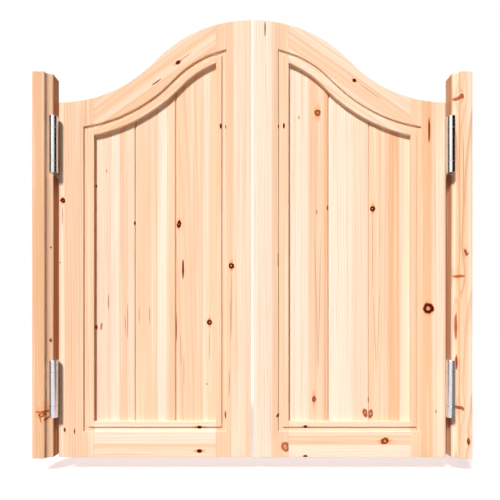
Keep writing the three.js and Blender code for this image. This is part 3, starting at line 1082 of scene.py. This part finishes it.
@dataclass
class Post:
    """A moulded side post.

    Attributes:
        side: which half it belongs to.
        plank: its wood.
    """

    side: Side
    plank: Plank

    def build(self, nodes: dict, pine: PineFinish) -> None:
        """Copies the post, eases it and dresses it.

        Args:
            nodes: the frame's nodes by name.
            pine: the wood finish.
        """
        node = f"{self.side.value}_post"
        piece = POST_EASING.copy(nodes[node], f"{node}_wood")
        low, high = (Vector(corner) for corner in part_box(node))
        material = pine.material(node, self.plank, low, high)
        finish_piece(piece, material, "posts", node)


@dataclass
class Leaf:
    """A framed leaf: two stiles, two rails and the matchboards.

    Attributes:
        side: which half it belongs to.
        planks: the wood of each piece, by the piece's name.
    """

    side: Side
    planks: dict[str, Plank]

    def build(self, nodes: dict, pine: PineFinish) -> None:
        """Copies the leaf's pieces, eases them and dresses them.

        Args:
            nodes: the frame's nodes by name.
            pine: the wood finish.
        """
        for name, plank in self.planks.items():
            node = f"{self.side.value}_{name}"
            piece = LEAF_EASING.copy(nodes[node], f"{node}_wood")
            low, high = (Vector(corner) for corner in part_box(node))
            material = pine.material(node, plank, low, high)
            finish_piece(piece, material, self.side.leaf, node)


@dataclass
class SpringHinge:
    """A double-action spring hinge: flanges, web, pins, plugs and springs.

    Attributes:
        side: which half it belongs to.
        place: upper or lower.
        flange_face: distance of a flange's outer face from the barrels, metres.
        stagger: how far a screw sits beside the flange's middle, metres.
        screw_heights: screws from the hinge's middle, metres.
    """

    side: Side
    place: HingePlace
    flange_face: float = 3.25 * MM
    stagger: float = 5.5 * MM
    screw_heights: tuple[float, ...] = (-48 * MM, -17 * MM, 17 * MM, 48 * MM)

    def build(self, nodes: dict, steel: bpy.types.Material, spring: bpy.types.Material) -> None:
        """Copies the hinge's pieces, eases them and dresses them.

        Args:
            nodes: the frame's nodes by name.
            steel: the hinge's finish.
            spring: the springs' finish.
        """
        start = f"{self.side.value}_{self.place.word}"
        riders = {"web": f"{self.side.value}_web"}
        for piece in ("flange", "pin", "plug"):
            riders |= {f"jamb_{piece}": "posts", f"door_{piece}": self.side.leaf}
        for name, body in riders.items():
            node = f"{start}_{name}"
            piece = METAL_EASING.copy(nodes[node], f"{node}_steel")
            finish_piece(piece, steel, body, node)
        for end in ("jamb", "door"):
            coil = nodes[f"{start}_{end}_spring"]
            coil.data.materials.clear()
            coil.data.materials.append(spring)

    def mark_screws(self, jamb: Screws, door: Screws) -> None:
        """Marks the places of the screws of both flanges.

        Args:
            jamb: the screws in the posts.
            door: the screws in this side's leaf.
        """
        way = self.side.way
        for index, height in enumerate(self.screw_heights):
            aside = self.stagger * (1 if index % 2 else -1) * -way
            for screws, end in ((jamb, 1.0), (door, -1.0)):
                across = way * (BARREL_X + end * self.flange_face)
                screws.places.append(Vector((across, end * aside, self.place.value + height)))
                screws.facings.append(-way * end)


# The wood of each piece


LEFT_POST = Plank(
    seed=11.3,
    # The last band is painted shade on the post's face inside the hinge gap
    bands=((-486, Tint.HONEY), (-459, Tint.PEACH), (-445.4, Tint.PAINTED_GAP_SHADE)),
    knots=(
        Knot(-465, 97, 6.0, 0.85, 0.7, 0.8, 20.0, 1.6),
        Knot(-456, 104, 9.0, 0.2, 0.65),
        Knot(-473, 103, 5.0, 0.3, 0.5),
        Knot(-453, 90, 1.5, 6.0, 0.75, tilt=-50.0),
        Knot(-468, 88, 1.3, 6.0, 0.5, tilt=12.0),
        Knot(-449.5, 261, 2.4, 1.3, 0.75, tilt=35.0),
        Knot(-449, 468, 1.3),
    ),
    pith=(-120.0, 60.0),
    streak=0.7,
    lines=0.4,
)
RIGHT_POST = Plank(
    seed=37.1,
    bands=(
        # The first band is painted shade on the post's face inside the hinge gap
        (444, Tint.PAINTED_GAP_SHADE),
        (445.4, Tint.CREAM),
        (455, Tint.HONEY),
        (461, Tint.PEACH),
        (476, Tint.CREAM),
    ),
    knots=(
        Knot(457, 798, 9.0, 0.4, 0.6, flame=0.5),
        Knot(463, 801, 3.0, 1.5, 0.7, 0.35, 25.0, 2.0),
        Knot(471, 456, 2.4, 2.4, 0.7, 0.0, 18.0, 5.0),
        Knot(475, 451, 1.0, 4.5, 0.75, tilt=-40.0),
        Knot(458, 403, 9.0, 0.32, 0.55, flame=0.4),
        Knot(453, 292, 2.2, 11.0, 0.6),
        Knot(454, 212, 1.9, 7.0, 0.75),
        Knot(459, 112, 6.5, 0.5, 0.65, flame=0.6),
        Knot(465, 108, 1.2, 3.0, 0.8, tilt=-35.0),
        Knot(477, 38, 2.8, 2.4, 0.85, 0.4, 5.0, 7.0),
        Knot(466, 640, 0.7, 90.0, 0.3),
    ),
    pith=(25.0, 55.0),
    twist=(0.3, 1.1),
    streak=0.6,
    lines=0.55,
)
LEFT_LEAF = {
    "hinge_stile": Plank(
        seed=3.7,
        # The first band is painted shade on the leaf's edge inside the hinge gap
        bands=((-432, Tint.PAINTED_GAP_SHADE), (-430.8, Tint.CREAM), (-421, Tint.PEACH)),
        knots=(
            Knot(-423, 573, 4.4, 1.2, 1.0, 0.3, 30.0, 3.0),
            Knot(-424, 540, 0.7, 26.0, 0.45),
            Knot(-419, 61, 2.0, 2.0, 0.9),
            Knot(-397, 58, 1.4, 3.6, 0.8),
            Knot(-429, 434, 1.0, 1.5, 0.7),
        ),
        lines=0.4,
    ),
    "meeting_stile": Plank(
        seed=8.2,
        bands=((-81, Tint.PEACH), (-44, Tint.CREAM)),
        knots=(
            Knot(-46.5, 427, 5.2, 1.1, 1.0, 0.5, 25.0, 3.5),
            Knot(-46.0, 340, 0.6, 100.0, 0.4),
            Knot(-49.0, 310, 0.6, 70.0, 0.3, tilt=0.8),
            Knot(-51.5, 165, 0.7, 36.0, 0.4, tilt=-1.0),
            Knot(-70.5, 739, 1.9, 2.6),
            Knot(-59.5, 739, 1.2, 3.0, 0.7),
            Knot(-60.0, 94, 1.6, 4.5, 0.7),
        ),
        pith=(130.0, 80.0),
    ),
    "board_1": Plank(
        seed=14.9,
        bands=((-363, Tint.BLUSH), (-318, Tint.SAPWOOD), (-299, Tint.PEACH), (-281, Tint.CREAM)),
        knots=(
            Knot(-351, 290, 2.4, 1.8, 0.8),
            Knot(-340, 292, 1.8, 4.0, 0.55, 0.5, -8.0),
            Knot(-281, 302, 0.8, 40.0, 0.35),
            Knot(-286, 296, 0.7, 26.0, 0.3, tilt=3.0),
            Knot(-324, 347, 1.4, 10.0, 0.3),
            Knot(-351, 608, 1.6),
            Knot(-265, 524, 1.5, 2.6, 0.9),
            Knot(-328, 642, 1.0, 4.0, 0.35),
        ),
        streak=0.3,
    ),
    "board_2": Plank(
        seed=21.6,
        bands=((-263, Tint.PEACH), (-213, Tint.SAPWOOD), (-192, Tint.PEACH)),
        knots=(Knot(-231, 318, 0.8, 20.0, 0.4), Knot(-255, 318, 0.7, 22.0, 0.35)),
        pith=(160.0, 70.0),
        streak=0.25,
    ),
    "board_3": Plank(
        seed=26.4,
        bands=((-172, Tint.PEACH), (-111, Tint.CREAM), (-98, Tint.PEACH)),
        knots=(
            Knot(-165, 522, 4.0, 1.8, 1.0, 0.35, -8.0, 5.0),
            Knot(-156, 421, 1.9, 9.5, 0.9),
            Knot(-96.5, 301, 4.8, 1.1, 1.0, 0.5, 20.0, 3.5),
            Knot(-97.0, 250, 0.6, 50.0, 0.35),
            Knot(-102, 162, 1.0),
            Knot(-154, 190, 0.7, 45.0, 0.3),
            Knot(-161, 240, 0.6, 50.0, 0.25),
            Knot(-170.5, 290, 0.9, 30.0, 0.6),
        ),
        pith=(-60.0, 70.0),
        twist=(0.3, 0.7),
        streak=0.3,
    ),
    "top_rail": Plank(
        seed=31.8,
        bands=((-150, Tint.PEACH), (-12, Tint.CREAM), (2, Tint.PEACH), (26, Tint.BLUSH)),
        knots=(
            Knot(-166, 881, 3.4, 1.6, 1.0, flame=5.0),
            Knot(-150, 893, 0.8, 18.0, 0.45),
            Knot(-214.5, 837, 1.2, 9.0, 0.9),
        ),
        lean=55.0,
        pith=(-90.0, 60.0),
        ring=9.0,
        streak=0.6,
    ),
    "bottom_rail": Plank(
        seed=35.2,
        bands=((0, Tint.CREAM), (22, Tint.PEACH), (30, Tint.SAPWOOD)),
        knots=(Knot(-118, 66.5, 3.4, 1.3, flame=7.0), Knot(-118, 13.6, 3.7, 1.3, flame=5.0)),
        lean=90.0,
        pith=(-110.0, 70.0),
        streak=0.35,
    ),
}
RIGHT_LEAF = {
    "hinge_stile": Plank(
        seed=41.5,
        # The last band is painted shade on the leaf's edge inside the hinge gap
        bands=((354, Tint.PEACH), (378, Tint.HONEY), (402, Tint.CREAM), (430.8, Tint.PAINTED_GAP_SHADE)),
        knots=(
            Knot(395, 730, 2.2, 10.0, 0.8),
            Knot(393, 332, 10.2, 1.0, 1.0, 0.6, -40.0, 2.2),
            Knot(410, 102, 1.0, 4.0, 0.6),
        ),
        pith=(120.0, 80.0),
        streak=0.6,
    ),
    "meeting_stile": Plank(
        seed=46.3,
        bands=((3, Tint.SAPWOOD), (44, Tint.PEACH)),
        knots=(
            Knot(28.5, 956, 1.3, 11.0, 0.75),
            Knot(58.5, 740, 1.3, 2.5, 0.8),
            Knot(70.5, 740, 1.9, 2.6),
            Knot(57, 93, 2.2, 1.8, 0.9, tilt=-30.0),
            Knot(73.5, 23, 7.5, 1.2, 0.65, 0.75, 20.0, 1.8),
            Knot(57.5, 440, 0.9, 14.0, 0.4),
        ),
        streak=0.3,
    ),
    "board_1": Plank(
        seed=52.7,
        bands=((258, Tint.PEACH), (306, Tint.HONEY), (332, Tint.CREAM)),
        knots=(
            Knot(271, 557, 4.8, 1.1, 1.0, 0.45, flame=4.0),
            Knot(271, 460, 0.6, 120.0, 0.3),
            Knot(275.5, 282, 0.7, 105.0, 0.14, tilt=2.2),
            Knot(283.5, 282, 0.7, 105.0, 0.14, tilt=-2.2),
            Knot(266.5, 95, 4.4, 1.9, 0.75, 0.6, -10.0, 2.5),
        ),
        pith=(60.0, 60.0),
        twist=(0.2, 0.6),
        streak=0.3,
    ),
    "board_2": Plank(
        seed=57.9,
        bands=((167, Tint.SAPWOOD), (223, Tint.CREAM)),
        knots=(Knot(254, 97, 4.4, 1.9, 0.7, 0.6, 12.0, 2.5), Knot(261.5, 127, 1.0, 6.0, 0.7)),
        streak=0.3,
    ),
    "board_3": Plank(
        seed=63.4,
        bands=((72, Tint.SAPWOOD), (127, Tint.PEACH), (162, Tint.HONEY)),
        knots=(
            Knot(147, 773, 5.6, 1.15, 0.75, 0.55, 0.0, 5.0),
            Knot(139, 128, 3.8, 1.5, 0.75, 0.35, 0.0, 8.0),
            Knot(169.5, 559, 1.2, 4.0, 0.9),
            Knot(105, 762, 1.8, 1.6, 0.3),
            Knot(145, 550, 1.5, 3.0, 0.25),
            Knot(144.5, 335, 0.7, 180.0, 0.15, tilt=1.4),
            Knot(151.0, 335, 0.7, 180.0, 0.15, tilt=-1.2),
        ),
        pith=(60.0, 58.0),
        twist=(0.2, 0.6),
        streak=0.6,
    ),
    "top_rail": Plank(
        seed=68.8,
        bands=((-150, Tint.CREAM), (-20, Tint.PEACH), (14, Tint.CREAM)),
        knots=(Knot(228, 841, 3.5, 1.1, flame=3.0), Knot(262, 817, 0.7, 40.0, 0.4)),
        lean=-55.0,
        pith=(-90.0, 60.0),
        ring=9.0,
    ),
    "bottom_rail": Plank(
        seed=73.2,
        bands=((0, Tint.SAPWOOD), (27, Tint.PEACH), (48, Tint.CREAM)),
        knots=(
            Knot(118.5, 68, 2.8, 1.4),
            Knot(118.5, 2, 2.6, 1.4),
            Knot(296, 36, 6.2, 1.25, 0.85, 0.55, 35.0, 4.0),
        ),
        lean=90.0,
        pith=(-110.0, 70.0),
        streak=0.35,
    ),
}


# Stage


@dataclass
class Studio:
    """Floor, light and camera.

    Attributes:
        floor_drop: how far the floor lies below the foot, metres.
        floor_size: length of the floor's sides, metres.
        floor_paint: the floor's colour.
        floor_return: the floor's colour in the light that it throws back.
        floor_tint: colour of the floor where no light reaches it.
        floor_glow: how bright the floor looks there.
        eye: the camera's place, metres.
        lens: focal length, mm.
        shift: the frame's shift, as a share of its width.
        key_path: the way that the key light travels.
        key_strength: strength of the key light.
        back_path: the way that the back light travels.
        back_strength: strength of the back light.
        lamp_spread: width of both lights, degrees.
        ambient: level of the light from all round, in front and behind.
        behind: where that light begins to rise and is full, as the share of a
            direction that points to the back.
        flag_run: corners of the black flag at the right, seen from above; the
            same flag turned half a turn stands at the left.
        flag_height: height of the flags, metres.
        felt_height: height of their lower part, which is grey, metres.
        skirt: the flag's inner corners on the floor, seen from above.
        velvet: colour of the flags' upper part.
        felt: colour of their lower part and of the skirt.
        sensor: width of the camera's sensor, mm.
    """

    floor_drop: float = 0.033
    floor_size: float = 24.0
    floor_paint: str = "#AAADB3"
    floor_return: str = "#A0918A"
    floor_tint: str = "#FFE8E2"
    floor_glow: float = 0.66
    eye: tuple[float, float, float] = (0.0, -0.965, 0.295)
    lens: float = 30.67
    shift: tuple[float, float] = (-0.0046, 0.15)
    key_path: tuple[float, float, float] = (4.2, 8.5, -9.0)
    key_strength: float = 4.2
    back_path: tuple[float, float, float] = (0.0, -9.0, -8.0)
    back_strength: float = 1.3
    lamp_spread: float = 12.0
    ambient: tuple[float, float] = (0.03, 0.35)
    behind: tuple[float, float] = (0.0, 0.4)
    flag_run: tuple[tuple[float, float], ...] = ((0.9, -2.2), (3.4, -2.2), (3.4, 2.2), (2.9, 2.2))
    flag_height: float = 4.0
    felt_height: float = 0.9
    skirt: tuple[tuple[float, float], ...] = ((0.6, 0.3), (0.3, -0.4))
    velvet: str = "#0C0B0B"
    felt: str = "#8C8A88"
    sensor: float = 36.0

    def build(self) -> None:
        """Sets up the floor, the light, the world and the camera."""
        self._floor()
        self._flags()
        self._light()
        self._world()
        self._camera()

    def _seen(self, tree: bpy.types.NodeTree) -> bpy.types.NodeSocket:
        """Adds what is 1 for rays that show the background.

        Args:
            tree: the node tree.

        Returns:
            The factor's socket.
        """
        path = add_node(tree, "ShaderNodeLightPath").outputs
        seen = path["Is Camera Ray"]
        for kind in ("Is Glossy Ray", "Is Transmission Ray"):
            seen = add_node(tree, MATH, {0: seen, 1: path[kind]}, operation="MAXIMUM").outputs[0]
        # Metal doesn't throw the background's white on the wood beside it
        feeds = {0: path["Diffuse Depth"], 1: 0.5}
        direct = add_node(tree, MATH, feeds, operation="LESS_THAN").outputs[0]
        return add_node(tree, MATH, {0: seen, 1: direct}, operation="MULTIPLY").outputs[0]

    def _floor(self) -> None:
        """Lays the pale floor, which keeps a soft shadow."""
        half = self.floor_size / 2
        corners = [
            (x * half, y * half, -self.floor_drop) for x, y in ((-1, -1), (1, -1), (1, 1), (-1, 1))
        ]
        mesh = bpy.data.meshes.new("floor")
        mesh.from_pydata(corners, [], [(0, 1, 2, 3)])
        floor = bpy.data.objects.new("floor", mesh)
        bpy.context.collection.objects.link(floor)
        # Warm white matt paint: white where it is lit, with the object's shadow
        # on it; the wood gets only part of the light that it throws back
        material, tree = new_material("matt_white_floor_paint")
        thrown = add_node(tree, "ShaderNodeLightPath").outputs["Is Diffuse Ray"]
        feeds = {"Factor": thrown, 6: linear(self.floor_paint), 7: linear(self.floor_return)}
        colour = add_node(tree, "ShaderNodeMix", feeds, data_type="RGBA").outputs[2]
        paint = add_node(tree, "ShaderNodeBsdfDiffuse", {"Color": colour}).outputs[0]
        feeds = {0: self._seen(tree), 1: self.floor_glow}
        level = add_node(tree, MATH, feeds, operation="MULTIPLY").outputs[0]
        feeds = {"Color": linear(self.floor_tint), "Strength": level}
        glow = add_node(tree, "ShaderNodeEmission", feeds).outputs[0]
        both = add_node(tree, "ShaderNodeAddShader", {0: paint, 1: glow}).outputs[0]
        add_node(tree, "ShaderNodeOutputMaterial", {"Surface": both})
        mesh.materials.append(material)

    def _flags(self) -> None:
        """Stands black flags beside the camera, which only the metal mirrors."""
        cloths = []
        # Black velvet gives the barrels their dark bands, and grey felt low
        # down and on the floor gives the lower ones softer bands
        for name, colour in (("black_velvet_flag", self.velvet), ("grey_felt_skirt", self.felt)):
            material, tree = new_material(name)
            cloth = add_node(tree, "ShaderNodeEmission", {"Color": linear(colour)}).outputs[0]
            add_node(tree, "ShaderNodeOutputMaterial", {"Surface": cloth})
            cloths.append(material)
        levels = (-self.floor_drop, self.felt_height, self.flag_height)
        rows, count = len(levels), len(self.flag_run)
        for name, turn in (("flag_right", 1.0), ("flag_left", -1.0)):
            points = [(turn * x, turn * y, z) for x, y in self.flag_run for z in levels]
            faces = [
                (i, i + rows, i + rows + 1, i + 1)
                for level in range(rows - 1)
                for i in range(level, rows * (count - 1), rows)
            ]
            faces.append((*range(0, rows * count, rows), rows * count, rows * count + 1))
            points += [(turn * x, turn * y, -self.floor_drop + MM) for x, y in self.skirt]
            mesh = bpy.data.meshes.new(name)
            mesh.from_pydata(points, [], faces)
            for cloth in cloths:
                mesh.materials.append(cloth)
            for polygon in mesh.polygons:
                polygon.material_index = int(polygon.center.z < self.felt_height)
            flag = bpy.data.objects.new(name, mesh)
            bpy.context.collection.objects.link(flag)
            flag.visible_camera = flag.visible_diffuse = flag.visible_shadow = False
            flag.visible_transmission = flag.visible_volume_scatter = False

    def _light(self) -> None:
        """Hangs the key light at the upper left in front, and a weaker one behind."""
        for name, path, strength in (
            ("key", self.key_path, self.key_strength),
            ("back", self.back_path, self.back_strength),
        ):
            data = bpy.data.lights.new(name, "SUN")
            data.energy, data.angle = strength, math.radians(self.lamp_spread)
            lamp = bpy.data.objects.new(name, data)
            lamp.rotation_euler = Vector(path).to_track_quat("-Z", "Y").to_euler()
            bpy.context.collection.objects.link(lamp)

    def _world(self) -> None:
        """Gives soft light, mostly from behind, and a white background."""
        world = bpy.data.worlds.new("white_studio")
        world.use_nodes = True
        tree = world.node_tree
        tree.nodes.clear()
        way = add_node(tree, "ShaderNodeTexCoord").outputs["Generated"]
        depth = add_node(tree, "ShaderNodeSeparateXYZ", {0: way}).outputs["Y"]
        feeds = {"Value": depth} | dict(enumerate((*self.behind, *self.ambient), 1))
        soft = add_node(tree, MAP_RANGE, feeds).outputs[0]
        feeds = {"Value": self._seen(tree), 3: soft, 4: 1.0}
        level = add_node(tree, MAP_RANGE, feeds).outputs[0]
        feeds = {"Color": (1.0, 1.0, 1.0, 1.0), "Strength": level}
        sky = add_node(tree, "ShaderNodeBackground", feeds).outputs[0]
        add_node(tree, "ShaderNodeOutputWorld", {"Surface": sky})
        bpy.context.scene.world = world

    def _camera(self) -> None:
        """Sets the camera straight in front, low, with a rising frame."""
        data = bpy.data.cameras.new("camera")
        data.lens = self.lens
        data.sensor_width = self.sensor
        data.shift_x, data.shift_y = self.shift
        data.clip_start = 0.01
        camera = bpy.data.objects.new("camera", data)
        camera.location = self.eye
        camera.rotation_euler = (math.radians(90.0), 0.0, 0.0)
        bpy.context.collection.objects.link(camera)
        bpy.context.scene.camera = camera


def main() -> None:
    """Builds the stage, the wood, the hinges and the small parts in order."""
    logging.basicConfig(level=logging.INFO, format="%(name)s: %(message)s")
    bpy.context.scene.view_settings.view_transform = "Standard"
    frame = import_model()
    nodes = frame["nodes"]
    Studio().build()
    pine = PineFinish()
    steel, spring = SATIN_STEEL.material(), OILED_SPRING_STEEL.material()
    zinc, screw_tree = ZINC_SCREW_STEEL.material(), Screws.tree()
    jamb_screws = Screws("posts")
    for side, post, planks in (
        (Side.LEFT, LEFT_POST, LEFT_LEAF),
        (Side.RIGHT, RIGHT_POST, RIGHT_LEAF),
    ):
        Post(side, post).build(nodes, pine)
        Leaf(side, planks).build(nodes, pine)
        door_screws = Screws(side.leaf)
        for place in HingePlace:
            hinge = SpringHinge(side, place)
            hinge.build(nodes, steel, spring)
            hinge.mark_screws(jamb_screws, door_screws)
        door_screws.build(screw_tree, zinc)
    jamb_screws.build(screw_tree, zinc)


if __name__ == "__main__":
    main()
